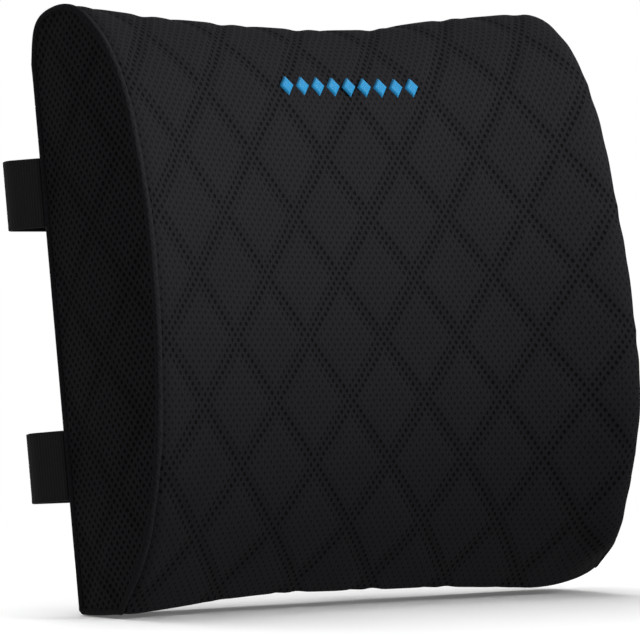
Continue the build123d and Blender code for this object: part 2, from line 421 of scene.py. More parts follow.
class Paint:
    """A material, with short calls that add the nodes of its pattern."""

    def __init__(self, name, color, roughness, specular=0.5):
        self.material = bpy.data.materials.new(name)
        self.material.use_nodes = True
        self.tree = self.material.node_tree
        self.shader = self.tree.nodes["Principled BSDF"]
        self.shader.inputs["Base Color"].default_value = (*color, 1)
        self.shader.inputs["Roughness"].default_value = roughness
        self.shader.inputs["Specular IOR Level"].default_value = specular

    def give(self, socket, value):
        """Links a socket to another node's output, or sets it to a number."""
        if isinstance(value, bpy.types.NodeSocket):
            self.tree.links.new(socket, value)
        else:
            socket.default_value = value

    def add(self, kind, values=(), **settings):
        """A new node with its settings and its first inputs."""
        node = self.tree.nodes.new(kind)
        for setting, value in settings.items():
            setattr(node, setting, value)
        for place, value in enumerate(values):
            self.give(node.inputs[place], value)
        return node

    def math(self, operation, *values):
        """The result of a Math node."""
        return self.add("ShaderNodeMath", values, operation=operation).outputs[0]

    def flat(self):
        """The surface's own coordinates, in millimetres."""
        place = self.add("ShaderNodeUVMap", uv_map="flat").outputs[0]
        split = self.add("ShaderNodeSeparateXYZ", [place])
        return [self.math("MULTIPLY", split.outputs[k], 100) for k in (0, 1)]

    def solid(self):
        """The place in the object, in millimetres, for pieces with no coordinates of their own."""
        place = self.add("ShaderNodeTexCoord").outputs["Object"]
        scaled = self.add("ShaderNodeVectorMath", [place, (1000, 1000, 1000)], operation="MULTIPLY")
        return scaled.outputs[0]

    def join(self, x, y):
        """Two numbers as one place."""
        return self.add("ShaderNodeCombineXYZ", [x, y]).outputs[0]

    def noise(self, place, size, detail=3, rough=0.5):
        """Noise from 0 to 1 whose lumps are about size across."""
        node = self.add("ShaderNodeTexNoise")
        self.give(node.inputs["Vector"], place)
        node.inputs["Scale"].default_value = 1 / size
        node.inputs["Detail"].default_value = detail
        node.inputs["Roughness"].default_value = rough
        return node.outputs[0]

    def ease(self, value, low, high, at_low=0.0, at_high=1.0):
        """value eased from at_low, where it is low, to at_high, where it is high."""
        values = [value, low, high, at_low, at_high]
        return self.add("ShaderNodeMapRange", values, interpolation_type="SMOOTHSTEP").outputs[0]

    def wave(self, value, period):
        """A cosine of value."""
        return self.math("COSINE", self.math("MULTIPLY", value, 2 * math.pi / period))

    def mix(self, share, low, high):
        """A colour between two."""
        node = self.add("ShaderNodeMix", data_type="RGBA")
        self.give(node.inputs["Factor"], share)
        for name, color in (("A", low), ("B", high)):
            socket = next(s for s in node.inputs if s.name == name and s.type == "RGBA")
            self.give(socket, color if isinstance(color, bpy.types.NodeSocket) else (*color, 1))
        return next(s for s in node.outputs if s.type == "RGBA")

    def color(self, value):
        """Sets what feeds the colour."""
        self.give(self.shader.inputs["Base Color"], value)

    def rough(self, value):
        """Sets what feeds the roughness."""
        self.give(self.shader.inputs["Roughness"], value)

    def bump(self, height, depth):
        """Relief of depth millimetres for each unit of height."""
        node = self.add("ShaderNodeBump")
        node.inputs["Strength"].default_value = 1
        node.inputs["Distance"].default_value = depth / 1000
        self.give(node.inputs["Height"], height)
        self.give(self.shader.inputs["Normal"], node.outputs[0])

    def sheen(self, weight, roughness=0.5, tint=(1, 1, 1)):
        """The soft light that fibres catch at a glancing angle."""
        self.shader.inputs["Sheen Weight"].default_value = weight
        self.shader.inputs["Sheen Roughness"].default_value = roughness
        self.shader.inputs["Sheen Tint"].default_value = (*tint, 1)


def air_mesh(
    name, quilt=None, cell=(4.5, 5.5), holes=(0.62, 0.42), faint=0.6, line_shade=0.78, painted_light_scale=1.0
):
    """Black knitted air mesh: rows of staggered oval holes between fine slanting ribs, each hole painted
    near black as painted shade inside it. Along the lines of quilt, which gives its diamonds' width and
    height, the holes are wider and darker, and the ribs there are darker too: partly fabric pressed flat,
    partly painted shade of the quilted groove. holes says how high in the pattern a hole's edge lies, away
    from the lines and on them."""
    paint = Paint(name, (0.01, 0.01, 0.011), 0.85, specular=0.1)
    u, v = paint.flat()
    place = paint.join(u, v)
    sway = paint.math("SUBTRACT", paint.noise(place, 9, detail=1), 0.5)
    u_swayed = paint.math("MULTIPLY_ADD", sway, 1.4, u)
    v_swayed = paint.math("MULTIPLY_ADD", sway, -1.0, v)
    lattice = paint.math("MULTIPLY", paint.wave(u_swayed, cell[0]), paint.wave(v_swayed, cell[1]))
    line = 0.0
    if quilt:
        width, height = quilt
        shares = [paint.math("DIVIDE", u_swayed, width), paint.math("DIVIDE", v_swayed, height)]
        unit = 1 / math.hypot(1 / width, 1 / height)
        lines = [paint.math("PINGPONG", paint.math(way, *shares), 0.5) for way in ("ADD", "SUBTRACT")]
        distance = paint.math("MULTIPLY", paint.math("MINIMUM", *lines), unit)
        line = paint.ease(distance, 2.4, 6.4, 1, 0)
    edge = paint.math("MULTIPLY_ADD", line, holes[1] - holes[0], holes[0])
    hole = paint.ease(paint.math("SUBTRACT", lattice, edge), -0.15, 0.25)
    depth = paint.math("MULTIPLY", hole, paint.math("MULTIPLY_ADD", line, 1 - faint, faint))
    slant = paint.math("MULTIPLY_ADD", v_swayed, -cell[0] / cell[1], u_swayed)
    rib = paint.math("ABSOLUTE", paint.wave(slant, cell[0]))
    fuzz = paint.noise(place, 0.7, detail=2)
    patch = paint.noise(place, 45, detail=2)
    knit = paint.math("MULTIPLY_ADD", rib, 0.45, paint.math("MULTIPLY", fuzz, 0.45))
    shade = paint.math("MULTIPLY_ADD", patch, 0.4, knit)
    # darker along the quilt lines: partly fabric pressed flat, partly painted shade of the groove
    shade = paint.math("MULTIPLY", shade, paint.math("MULTIPLY_ADD", line, line_shade - 1, 1))
    # scales the whole colour; above 1 it makes a lighter copy of the same fabric as painted light
    light = tuple(c * painted_light_scale for c in (0.0145, 0.0142, 0.0168))
    dark = tuple(c * painted_light_scale for c in (0.0050, 0.0049, 0.0062))
    # each hole is painted near black: painted shade inside the hole
    paint.color(paint.mix(depth, paint.mix(shade, dark, light), (0.0006, 0.0006, 0.0008)))
    relief = paint.math("MULTIPLY_ADD", knit, 0.3, paint.math("MULTIPLY", depth, -1))
    paint.bump(relief, 0.7)
    paint.sheen(0.01, 0.6, (0.75, 0.78, 0.85))
    return paint.material


def webbing_weave():
    """Black webbing: fine ribs across it, crossed by the warp."""
    paint = Paint("webbing", (0.012, 0.012, 0.013), 0.62, specular=0.3)
    along, across = paint.flat()
    rib = paint.math("ABSOLUTE", paint.wave(along, 2.8))
    warp = paint.math("ABSOLUTE", paint.wave(across, 1.5))
    fuzz = paint.noise(paint.join(along, across), 0.5, detail=2)
    fibres = paint.math("MULTIPLY_ADD", warp, 0.4, paint.math("MULTIPLY", fuzz, 0.35))
    weave = paint.math("MULTIPLY_ADD", rib, 0.45, fibres)
    paint.color(paint.mix(weave, (0.004, 0.004, 0.0043), (0.0145, 0.0145, 0.0155)))
    paint.bump(weave, 0.32)
    paint.sheen(0.05, 0.5, (0.8, 0.85, 0.95))
    return paint.material


def moulded_plastic():
    """Black nylon with a fine grain."""
    paint = Paint("buckle_plastic", (0.012, 0.012, 0.013), 0.42, specular=0.45)
    place = paint.solid()
    grain = paint.noise(place, 0.35, detail=2)
    scuff = paint.noise(place, 9, detail=4, rough=0.65)
    paint.color(paint.mix(scuff, (0.010, 0.010, 0.011), (0.017, 0.017, 0.018)))
    paint.rough(paint.ease(scuff, 0.3, 0.75, 0.34, 0.5))
    paint.bump(grain, 0.06)
    return paint.material


def zip_tape():
    """Woven polyester tape, in a herringbone."""
    paint = Paint("zip_tape", (0.012, 0.012, 0.013), 0.75, specular=0.25)
    along, across = paint.flat()
    fold = paint.math("PINGPONG", across, 1.6)
    herring = paint.math("ABSOLUTE", paint.wave(paint.math("ADD", along, fold), 1.1))
    paint.color(paint.mix(herring, (0.006, 0.006, 0.0065), (0.016, 0.016, 0.017)))
    paint.bump(herring, 0.2)
    return paint.material


def coil_nylon():
    """Smooth black nylon for the zip's turns."""
    paint = Paint("zip_coil", (0.012, 0.012, 0.013), 0.32, specular=0.5)
    worn = paint.noise(paint.solid(), 3, detail=3)
    paint.rough(paint.ease(worn, 0.3, 0.7, 0.26, 0.42))
    return paint.material


def black_lacquer():
    """Painted zinc, a little worn at random."""
    paint = Paint("zip_metal", (0.016, 0.016, 0.017), 0.3, specular=0.6)
    place = paint.solid()
    worn = paint.noise(place, 2.5, detail=5, rough=0.7)
    paint.color(paint.mix(paint.ease(worn, 0.62, 0.75), (0.014, 0.014, 0.015), (0.05, 0.05, 0.052)))
    paint.rough(paint.ease(worn, 0.3, 0.7, 0.24, 0.45))
    paint.bump(paint.noise(place, 0.5), 0.03)
    return paint.material


def satin_thread():
    """Bright blue embroidery thread, laid side by side."""
    paint = Paint("badge_thread", (0.02, 0.33, 0.72), 0.42, specular=0.5)
    u, v = paint.flat()
    thread = paint.math("ABSOLUTE", paint.wave(paint.math("MULTIPLY_ADD", u, 0.35, v), 0.9))
    fuzz = paint.noise(paint.join(u, v), 0.6, detail=2)
    weave = paint.math("MULTIPLY_ADD", fuzz, 0.3, paint.math("MULTIPLY", thread, 0.8))
    paint.color(paint.mix(weave, (0.003, 0.12, 0.36), (0.014, 0.4, 0.8)))
    paint.bump(weave, 0.25)
    paint.sheen(0.08, 0.4, (0.5, 0.85, 1))
    return paint.material


def sewing_thread():
    """Black thread, twisted."""
    paint = Paint("sewing_thread", (0.02, 0.02, 0.022), 0.55, specular=0.4)
    twist = paint.noise(paint.solid(), 0.4, detail=2)
    paint.color(paint.mix(twist, (0.010, 0.010, 0.011), (0.034, 0.034, 0.037)))
    paint.bump(twist, 0.12)
    return paint.material


def label_cloth():
    """Pale woven ribbon, left blank."""
    paint = Paint("label", (0.48, 0.48, 0.47), 0.6, specular=0.3)
    u, v = paint.flat()
    weft = paint.math("ABSOLUTE", paint.wave(u, 0.8))
    warp = paint.math("ABSOLUTE", paint.wave(v, 0.6))
    weave = paint.math("MULTIPLY", weft, warp)
    paint.color(paint.mix(weave, (0.36, 0.36, 0.35), (0.5, 0.5, 0.49)))
    paint.bump(weave, 0.12)
    return paint.material


def open_foam():
    """Cream memory foam with fine open cells."""
    paint = Paint("foam", (0.78, 0.73, 0.58), 0.9, specular=0.15)
    place = paint.solid()
    pores = paint.noise(place, 1.2, detail=3, rough=0.7)
    paint.color(paint.mix(paint.noise(place, 40), (0.72, 0.66, 0.5), (0.82, 0.78, 0.64)))
    paint.bump(pores, 0.5)
    return paint.material


def liner_knit():
    """Thin off-white tricot."""
    paint = Paint("liner", (0.62, 0.62, 0.6), 0.8, specular=0.2)
    u, v = paint.flat()
    loops = paint.math("MULTIPLY", paint.wave(u, 1.1), paint.wave(v, 1.3))
    paint.color(paint.mix(paint.ease(loops, -1, 1), (0.5, 0.5, 0.49), (0.68, 0.68, 0.66)))
    paint.bump(loops, 0.12)
    return paint.material


# ---- the cover ----


def before_seam(y, z):
    """1 down the front, where the seam stands proud, and less towards the back and the foot."""
    return smooth_step(4, 16, -y) * smooth_step(2, 24, z - foot_height(y))


def across_positions():
    """The front panel's columns, closer together near the seams."""
    left, right = SEAMS[-1], SEAMS[1]
    turn = np.linspace(0, math.pi / 2, 11)
    start, end = left["edge"] - WIDTH / 2, WIDTH / 2 - right["edge"]
    near_left = start + left["reach"] * (1 - np.cos(turn))
    near_right = end - right["reach"] * (1 - np.cos(turn))
    count = round((near_right[-1] - near_left[-1]) / STEP)
    between = np.linspace(near_left[-1], near_right[-1], count)
    return np.concatenate([near_left, between[1:-1], near_right[::-1]])


def swell(value, middle, spread):
    """1 at middle, falling smoothly to 0 on both sides of it."""
    return np.exp(-(((value - middle) / spread) ** 2))


def plump(points):
    """The cover's points moved to where the foam fills it."""
    x, y, z = (points[..., k] for k in range(3))
    # 1 where the name says, and 0 away from there
    end = np.abs(2 * x / WIDTH)
    low = swell(z, 95, 75)
    ahead = np.clip(-y / 60, 0, 1)
    right = smooth_step(100, 168, x)
    foot = 1 - smooth_step(0, 26 + 29 * smooth_step(0, 30, -y), z)
    back_corner = swell(y, -8, 14) * swell(z, 316, 16)
    # out at both sides, and more at the right
    wider = np.sign(x) * end**4 * (1.3 + 2.6 * low * ahead) + 2.6 * right
    # forwards at the ends of the front, and most in a cheek just above the right lower corner
    cheek = 10.5 * smooth_step(128, 162, x) * swell(z, 15, np.where(z > 15, 20, 13))
    forwards = (4.0 * end**3 + 4.0 * right) * low * ahead + cheek * smooth_step(8, 36, -y)
    deeper = 2.0 * back_corner - forwards
    # up at the top towards the right, at both lower corners, and in a slight hollow under the left half
    taller = 4.8 * smooth_step(30, 112, x) * smooth_step(150, 320, z) + 2.6 * back_corner
    right_corner = 12 * np.clip((x - 116) / 50, 0, 1.1) ** 2
    corners = foot * (right_corner + 1.6 * end**6 * swell(y, -36, 14))
    hollow = 2.0 * foot * swell(x, -78, 55) * smooth_step(4, 16, -y)
    return points + points_of(wider, deeper, taller + corners + hollow)


def edge_drop(distance, reach, drop):
    """How far a padded edge falls away towards its seam: a quarter of an ellipse."""
    share = np.clip(distance / reach, 0, 1)
    return drop * (1 - np.sqrt(1 - (1 - share) ** 2))


def groove_along(distance):
    """How deep a quilted groove is at a distance from its line, as a share of its depth."""
    return np.exp(-((distance / QUILT_GROOVE) ** 2))


def quilt_origin(column, rows_along):
    """Where the quilting's crossing lies along the front panel's middle column."""
    front = np.flatnonzero(column[:, 1] < -CREST_DEPTH)
    return rows_along[front[np.argmin(np.abs(column[front, 2] - QUILT_ROW_Z))]]


def front_panel(material):
    """The quilted panel that wraps over the top, down the front and under the foot."""
    x = across_positions()
    base = front_surface(x, STEP)
    normals = -grid_normals(base)
    column = base[:, len(x) // 2]
    rows = lengths_along(column[:, 1:])
    u, v = np.meshgrid(x, quilt_origin(column, rows) - rows)
    front = before_seam(base[..., 1], base[..., 2])
    from_back = np.minimum(rows, rows[-1] - rows)[:, None]
    drop = edge_drop(from_back, 6, 2.5)
    for side, seam in SEAMS.items():
        from_side = WIDTH / 2 - seam["edge"] - side * u
        drop = drop + edge_drop(from_side, seam["reach"], 1) * (1.2 + (seam["drop"] - 1.2) * front)
    groove = QUILT_DEPTH * groove_along(quilt_distance(u, v, QUILT_WIDTH, QUILT_HEIGHT))
    uneven = 0.5 * wander(u, v, 120, 3) + 0.18 * wander(u, v, 30, 4)
    puckers = 0.25 * np.exp((np.abs(u) - WIDTH / 2) / 9) * np.sin(v / 3.4 + 2 * wander(u, v, 50, 5))
    flat_foot = smooth_step(3, 9, base[..., 2] - foot_height(base[..., 1]))
    height = (uneven + puckers - groove) * flat_foot - drop
    grid = base + normals * height[..., None]
    return grid_piece("front_cover", grid, (u, v), material)


def seam_line(side, share=1.0):
    """The line of a side's seam, as a closed path of (y, z) inside the D-shaped outline, and the roll's
    radius along it. A smaller share lies nearer to the outline."""
    seam = SEAMS[side]
    end = front_outlines(1.0)[0]
    path = evenly(np.vstack([end, [[0, heel(0)[0, 1] + FOOT_BACK]], end[:1]]), 1.0)[:-1]
    along = unit(np.roll(path, -3, axis=0) - np.roll(path, 3, axis=0))
    front = before_seam(path[:, 0], path[:, 1])
    inset = share * (ROLL_INSET_BACK + (seam["inset"] - ROLL_INSET_BACK) * front)
    radius = ROLL_RADIUS_BACK + (seam["radius"] - ROLL_RADIUS_BACK) * front
    return path + inset[:, None] * points_of(-along[:, 1], along[:, 0]), radius


def crossing(path, z):
    """The frontmost and rearmost places where a closed path of (y, z) crosses the height z."""
    after = np.roll(path, -1, axis=0)
    low = np.minimum(path[:, 1], after[:, 1])
    high = np.maximum(path[:, 1], after[:, 1])
    hit = np.flatnonzero((low <= z) & (high >= z) & (high > low))
    share = (z - path[hit, 1]) / (after[hit, 1] - path[hit, 1])
    y = path[hit, 0] + share * (after[hit, 0] - path[hit, 0])
    return y.min(), y.max()


def flat_gusset(grid):
    """The gusset's flat coordinates, carried on round its seam."""
    round_seam = 0.8 * (WIDTH / 2 - np.abs(grid[..., 0]))
    return points_of(grid[..., 1] - GUSSET_QUILT_Y - round_seam, grid[..., 2] - GUSSET_QUILT_Z)


def gusset(name, side, material):
    """One side of the cover, quilted like the front and pushed out a little by the foam."""
    path = seam_line(side, share=0.8)[0]
    low, high = path[:, 1].min() + 0.05, path[:, 1].max() - 0.05
    heights = low + (high - low) * (1 - np.cos(np.linspace(0.05, math.pi - 0.05, 170))) / 2
    shares = (1 - np.cos(np.linspace(0, math.pi, 52))) / 2
    ends = np.array([crossing(path, z) for z in heights])
    y = ends[:, :1] + shares[None] * (ends[:, 1:] - ends[:, :1])
    z = np.broadcast_to(heights[:, None], y.shape)
    from_front_or_back = np.minimum(y - ends[:, :1], ends[:, 1:] - y)
    from_edge = np.minimum(from_front_or_back, np.minimum(z - low, high - z) * 1.5)
    quilt = quilt_distance(
        y - GUSSET_QUILT_Y, z - GUSSET_QUILT_Z, GUSSET_QUILT_WIDTH, GUSSET_QUILT_HEIGHT
    )
    groove = 0.9 * QUILT_DEPTH * groove_along(quilt) * smooth_step(2, 12, from_edge)
    bulge = GUSSET_BULGE * smooth_step(0, 34, from_edge)
    uneven = 0.7 * wander(y, z, 70, 11 + side) * smooth_step(2, 20, from_edge)
    x = side * (WIDTH / 2 - 1.4 + bulge + uneven - groove - edge_drop(from_edge, 5, 1.2))
    grid = points_of(x, y, z)
    flat = flat_gusset(grid)
    return grid_piece(name, grid, (flat[..., 0], flat[..., 1]), material, flip=side > 0)


def seam_roll(name, side, material):
    """The rolled edge where a gusset meets the front, thinner where it meets the back."""
    path, radius = seam_line(side)
    along = directions(path, closed=True)
    outwards = points_of(0, along[:, 1], -along[:, 0])
    v = lengths_along(path)
    radius = radius * (1 + 0.04 * np.sin(v / 9.1) + 0.02 * np.sin(v / 3.9))
    points = plump(points_of(side * (WIDTH / 2 - radius), path[:, 0], path[:, 1]))
    ring = circle(1, 14)[None] * radius[:, None, None]
    return swept_piece(
        name, points, (1, 0, 0), outwards, ring, material, closed=True, flatten=flat_gusset
    )


def back_top(x):
    """The back's upper edge, which follows the dip of the top."""
    return HEIGHT - TOP_DIP * middle_share(x) - BACK_CORNER


def back_bottom(x):
    """The back's lower edge, which follows the rise of the foot."""
    return BOTTOM_RISE * middle_share(x) + foot_height(-FOOT_BACK)


def back_sheet(name, x, low, high, material):
    """A plain sheet across the back, whose lower and upper edges are at these heights for each x."""
    half = x[-1]
    count = max(8, round((high - low).min() / 3.2))
    shares = (1 - np.cos(np.linspace(0, math.pi, count))) / 2
    z = low + shares[:, None] * (high - low)
    u = np.broadcast_to(x[None], z.shape)
    from_edge = np.minimum(np.minimum(z - low, high - z), half - np.abs(u))
    y = 0.3 + 0.5 * wander(u, z, 110, 21) * smooth_step(2, 30, from_edge) - edge_drop(from_edge, 4, 2.0)
    return grid_piece(name, points_of(u, y, z), (u, z), material)


def back_panels(material):
    """The back above the zip, and the hem below it."""
    half = WIDTH / 2 - BACK_INSET
    x = np.linspace(-half, half, round(2 * half / 3) + 1)
    above_zip = np.full(len(x), ZIP_Z + ZIP_OPENING / 2)
    below_zip = np.full(len(x), ZIP_Z - ZIP_OPENING / 2)
    return [
        back_sheet("back_cover", x, above_zip, back_top(x) + 4, material),
        back_sheet("back_hem_cover", x, back_bottom(x) + 2, below_zip, material),
    ]


def back_welts(material):
    """The thin rolled seams along the back's top and bottom."""
    x = np.linspace(-WIDTH / 2 + 3, WIDTH / 2 - 3, 110)
    ring = circle(WELT_RADIUS, 10)
    return [
        swept_piece(name, plump(points_of(x, -1.2, z)), (0, 1, 0), (0, 0, 1), ring, material)
        for name, z in (("top_welt", back_top(x) + 3), ("bottom_welt", back_bottom(x) + 2.2))
    ]


def filling(name, inset, material):
    """A closed block of the cushion's own shape, inset inside the cover, with rounded ends."""
    x = np.linspace(-1, 1, 60) * (WIDTH / 2 - inset)
    outlines = front_outlines(FILLING_STEP)
    end, middle = (np.vstack([line, [[0, line[-1, 1] + FOOT_BACK]]]) for line in outlines)
    loop = end[None] + middle_share(x)[:, None, None] * (middle - end)[None]
    along = unit(np.roll(loop, -1, axis=1) - np.roll(loop, 1, axis=1))
    loop = loop + inset * points_of(-along[..., 1], along[..., 0])
    rounding = edge_drop(WIDTH / 2 - inset - np.abs(x), 8, 5)[:, None, None]
    centre = loop.mean(axis=1, keepdims=True)
    loop = loop + (centre - loop) * rounding / 60
    points = plump(points_of(x[:, None], loop[..., 0], loop[..., 1]))
    rows, columns = points.shape[:2]
    faces = grid_faces(rows, columns, wrap_columns=True)
    faces.append(list(range(columns))[::-1])
    faces.append(list(range((rows - 1) * columns, rows * columns)))
    surface = points_of(points[..., 0] + points[..., 1], points[..., 2])
    return new_piece(name, to_row(points.reshape(-1, 3)), faces, surface.reshape(-1, 2), material)


# ---- the badge, the label and the zip ----


def front_point(x, z):
    """A point of the front's plain surface at x and z, and the unit normal there."""
    grid = front_surface(np.array([x - 1.0, x, x + 1.0]), 1.0)
    rows = np.flatnonzero(grid[:, 1, 1] < -CREST_DEPTH)
    row = rows[np.argmin(np.abs(grid[rows, 1, 2] - z))]
    share = (z - grid[row, 1, 2]) / (grid[row + 1, 1, 2] - grid[row, 1, 2])
    point = grid[row, 1] + share * (grid[row + 1, 1] - grid[row, 1])
    return point, -grid_normals(grid)[row, 1]


def diamond_edge(turn):
    """A place on the edge of a badge's diamond, for a turn from 0 to 4."""
    corners = np.array([(1, 0), (0, 1), (-1, 0), (0, -1), (1, 0)], float)
    corners *= (BADGE_HALF_WIDTH, BADGE_HALF_HEIGHT)
    start, end = corners[int(turn)], corners[int(turn) + 1]
    return start + (end - start) * (turn % 1)


def badge(material):
    """A row of plain satin-stitched diamonds, each a low pillow of thread."""
    points, faces, surface = [], [], []
    for n in range(BADGE_COUNT):
        x = (n - (BADGE_COUNT - 1) / 2) * BADGE_PITCH
        centre, normal = front_point(x, BADGE_Z)
        right = unit(np.array([1.0, 0.0, 0.0]) - normal * normal[0])
        up = np.cross(right, -normal)
        first = len(points)
        points.append(centre + normal * 1.15)
        surface.append((x, 0))
        for ring in range(1, BADGE_RINGS + 1):
            share = ring / BADGE_RINGS
            height = 0.15 + math.sqrt(1 - share**4) if ring < BADGE_RINGS else -0.5
            for turn in np.linspace(0, 4, BADGE_SPOKES, endpoint=False):
                du, dv = diamond_edge(turn) * share
                points.append(centre + right * du + up * dv + normal * height)
                surface.append((x + du, dv))
        spokes = [first + 1 + k % BADGE_SPOKES for k in range(BADGE_SPOKES + 1)]
        faces += [[first, spoke, following] for spoke, following in zip(spokes, spokes[1:])]
        faces += grid_faces(BADGE_RINGS, BADGE_SPOKES, wrap_columns=True, first=first + 1)
    points = to_row(plump(np.array(points)))
    return new_piece("badge_embroidery", points, faces, np.array(surface), material)


def care_label(material):
    """A blank ribbon label whose lower edge curls away from the back a little."""
    x = np.linspace(LABEL_LEFT, LABEL_RIGHT, 16)
    z = np.linspace(LABEL_LOW, LABEL_HIGH, 20)
    u, v = np.meshgrid(x, z)
    curl = 1.2 * smooth_step(0, 1, (LABEL_LOW + 14 - v) / 14) * (1 + 0.4 * np.sin(u / 5))
    return grid_piece("blank_label", points_of(u, 1.4 + curl, v), (u, v), material, thickness=0.5)


def zip_tape_sheet(name, side, material):
    """One tape, a little further in away from its coil."""
    u, w = np.meshgrid(np.linspace(-ZIP_END, ZIP_END, 120), np.linspace(0.2, TAPE_WIDTH, 12))
    y = TAPE_Y + 0.12 * np.sin(u / 17 + side) - 0.2 * smooth_step(3, 8, w)
    grid = points_of(u, y, ZIP_Z + side * w)
    return grid_piece(name, grid, (u, w), material, thickness=0.7, flip=side < 0)


def zip_coil(name, side, material):
    """One coil's turns, as a fine spring that interlocks with the other's."""
    turns = 2 * COIL_END / COIL_PITCH
    angle = np.linspace(0, turns * 2 * math.pi, round(turns * 10))
    start = COIL_PITCH / 2 - COIL_END if side > 0 else -COIL_END
    x = start + angle / (2 * math.pi) * COIL_PITCH
    y = COIL_Y + COIL_RISE * np.sin(angle)
    z = ZIP_Z + side * (COIL_OFFSET + COIL_REACH * np.cos(angle))
    path = points_of(x, y, z)
    along = directions(path)
    inwards = points_of(0, COIL_Y - y, ZIP_Z + side * COIL_OFFSET - z)
    inwards = unit(inwards - along * (inwards * along).sum(axis=1, keepdims=True))
    return swept_piece(name, path, np.cross(along, inwards), inwards, circle(COIL_THREAD, 6), material)


def zip_garage(name, side, material):
    """A patch of cover over one end of the zip."""
    x = np.linspace(GARAGE_START, WIDTH / 2 - 3, 12)
    z = np.linspace(ZIP_Z - GARAGE_HALF_HEIGHT, ZIP_Z + GARAGE_HALF_HEIGHT, 14)
    u, v = np.meshgrid(side * x, z)
    from_edge = np.minimum(np.abs(u) - GARAGE_START, np.minimum(v - z[0], z[-1] - v))
    y = 0.9 - edge_drop(from_edge, 2.5, 0.8)
    return grid_piece(name, points_of(u, y, v), (u, v), material, thickness=1.0, flip=side < 0)


# ---- the straps ----


def rounded_path(points, radius):
    """A path of straight runs whose corners are arcs."""
    points = np.asarray(points, float)
    path = [points[0]]
    for before, corner, after in zip(points, points[1:], points[2:]):
        back, ahead = unit(before - corner), unit(after - corner)
        half = math.acos(np.clip(back @ ahead, -1, 1)) / 2
        reach = radius / math.tan(half)
        centre = corner + unit(back + ahead) * radius / math.sin(half)
        start, end = corner + back * reach, corner + ahead * reach
        for share in np.linspace(0, 1, 9):
            spoke = (start - centre) * (1 - share) + (end - centre) * share
            path.append(centre + unit(spoke) * radius)
    path.append(points[-1])
    return evenly(np.array(path), STRAP_STEP)


def strap_path(side, bar_x, tail):
    """The webbing's middle seen from above: out past the cushion's edge, behind it to a bar, and back.
    tail gives how far from the bar, and how far behind the webbing, each point of the way back lies."""
    edge = WIDTH / 2
    lying = WEBBING / 2 + 0.35
    sewn = [(side * SEWN_END_X, lying), (side * (edge - 0.2), lying)]
    behind = rounded_path(
        sewn + [(side * (edge + LOOP_OUT), STRAP_GAP), (bar_x, STRAP_GAP)], BEND_RADIUS
    )
    turn = np.linspace(0, math.pi, 16)[1:-1]
    around_x = bar_x - side * TURN_RADIUS * np.sin(turn)
    around_y = STRAP_GAP + TURN_RADIUS * (1 - np.cos(turn))
    back = [(bar_x + side * a, STRAP_GAP + b) for a, b in [(0, 2 * TURN_RADIUS)] + tail]
    return np.vstack([behind, points_of(around_x, around_y), rounded_path(back, BEND_RADIUS)])


def webbing(name, path, height, material):
    """Webbing along a path seen from above, with a slightly thicker edge down each side."""
    path = points_of(path[:, 0], path[:, 1], height)
    along = directions(path)
    outwards = points_of(along[:, 1], -along[:, 0], 0)
    ring = rounded_bar(WEBBING_WIDTH, WEBBING - 0.15, count=17)
    selvedge = smooth_step(WEBBING_WIDTH / 2 - 3, WEBBING_WIDTH / 2 - 1.5, np.abs(ring[:, 0]))
    ring[:, 1] *= 1 + 0.12 * selvedge
    return swept_piece(name, path, (0, 0, 1), outwards, ring, material)


def box_stitch(x_low, x_high, y, height):
    """The rows of a sewn box with a cross in it, on webbing that lies across the back."""
    low = height - WEBBING_WIDTH / 2 + 4
    high = height + WEBBING_WIDTH / 2 - 4
    corners = [(x_low, y, low), (x_high, y, low), (x_high, y, high), (x_low, y, high)]
    runs = [(0, 1), (1, 2), (2, 3), (3, 0), (0, 2), (1, 3)]
    return [([corners[start], corners[end]], OUT_OF_BACK) for start, end in runs]


def straps(webbing_material, thread):
    """Both straps' webbing and its stitching."""
    for name, height in STRAP_HEIGHTS.items():
        loose = [(4, 2 * TURN_RADIUS), (8, TAIL_GAP), (TAIL_LENGTH, TAIL_GAP)]
        left_path = strap_path(-1, MALE_BAR_X, loose)
        left = webbing(f"{name}_strap_left", left_path, height, webbing_material)
        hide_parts(f"{name}_webbing_left")
        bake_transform(left)
        sewn = [(7, 2 * TURN_RADIUS), (17, SEWN_GAP), (45, SEWN_GAP)]
        right_path = strap_path(1, FEMALE_BAR_X, sewn)
        right = webbing(f"{name}_strap_right", right_path, height, webbing_material)
        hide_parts(f"{name}_webbing_right")
        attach(right, "cushion")
        over = STRAP_GAP + SEWN_GAP + WEBBING / 2 - 0.05
        rows = box_stitch(FEMALE_BAR_X + 20, FEMALE_BAR_X + 42, over, height)
        for side in (-1, 1):
            ends = sorted([side * (SEWN_END_X + 1.5), side * (SEWN_END_X + 12.5)])
            rows += box_stitch(*ends, WEBBING + 0.3, height)
        sewing = stitches(f"{name}_strap_stitches", rows, thread)
        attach(sewing, "cushion")


# ---- putting it together ----


def dress_node(node, material, bevel):
    """Gives a CAD node its finished material, and rounds its edges a little."""
    piece = frame["nodes"][node]
    if piece.data.materials:
        for place in range(len(piece.data.materials)):
            piece.data.materials[place] = material
    else:
        piece.data.materials.append(material)
    rounding = piece.modifiers.new("rounding", "BEVEL")
    rounding.width = bevel / 1000
    rounding.segments = 2
    rounding.limit_method = "ANGLE"
    rounding.angle_limit = math.radians(40)


def stand_for(piece, slot, *nodes):
    """The piece stands for these CAD nodes and rides on the cushion."""
    if nodes:
        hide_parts(*nodes)
    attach(piece, "cushion")


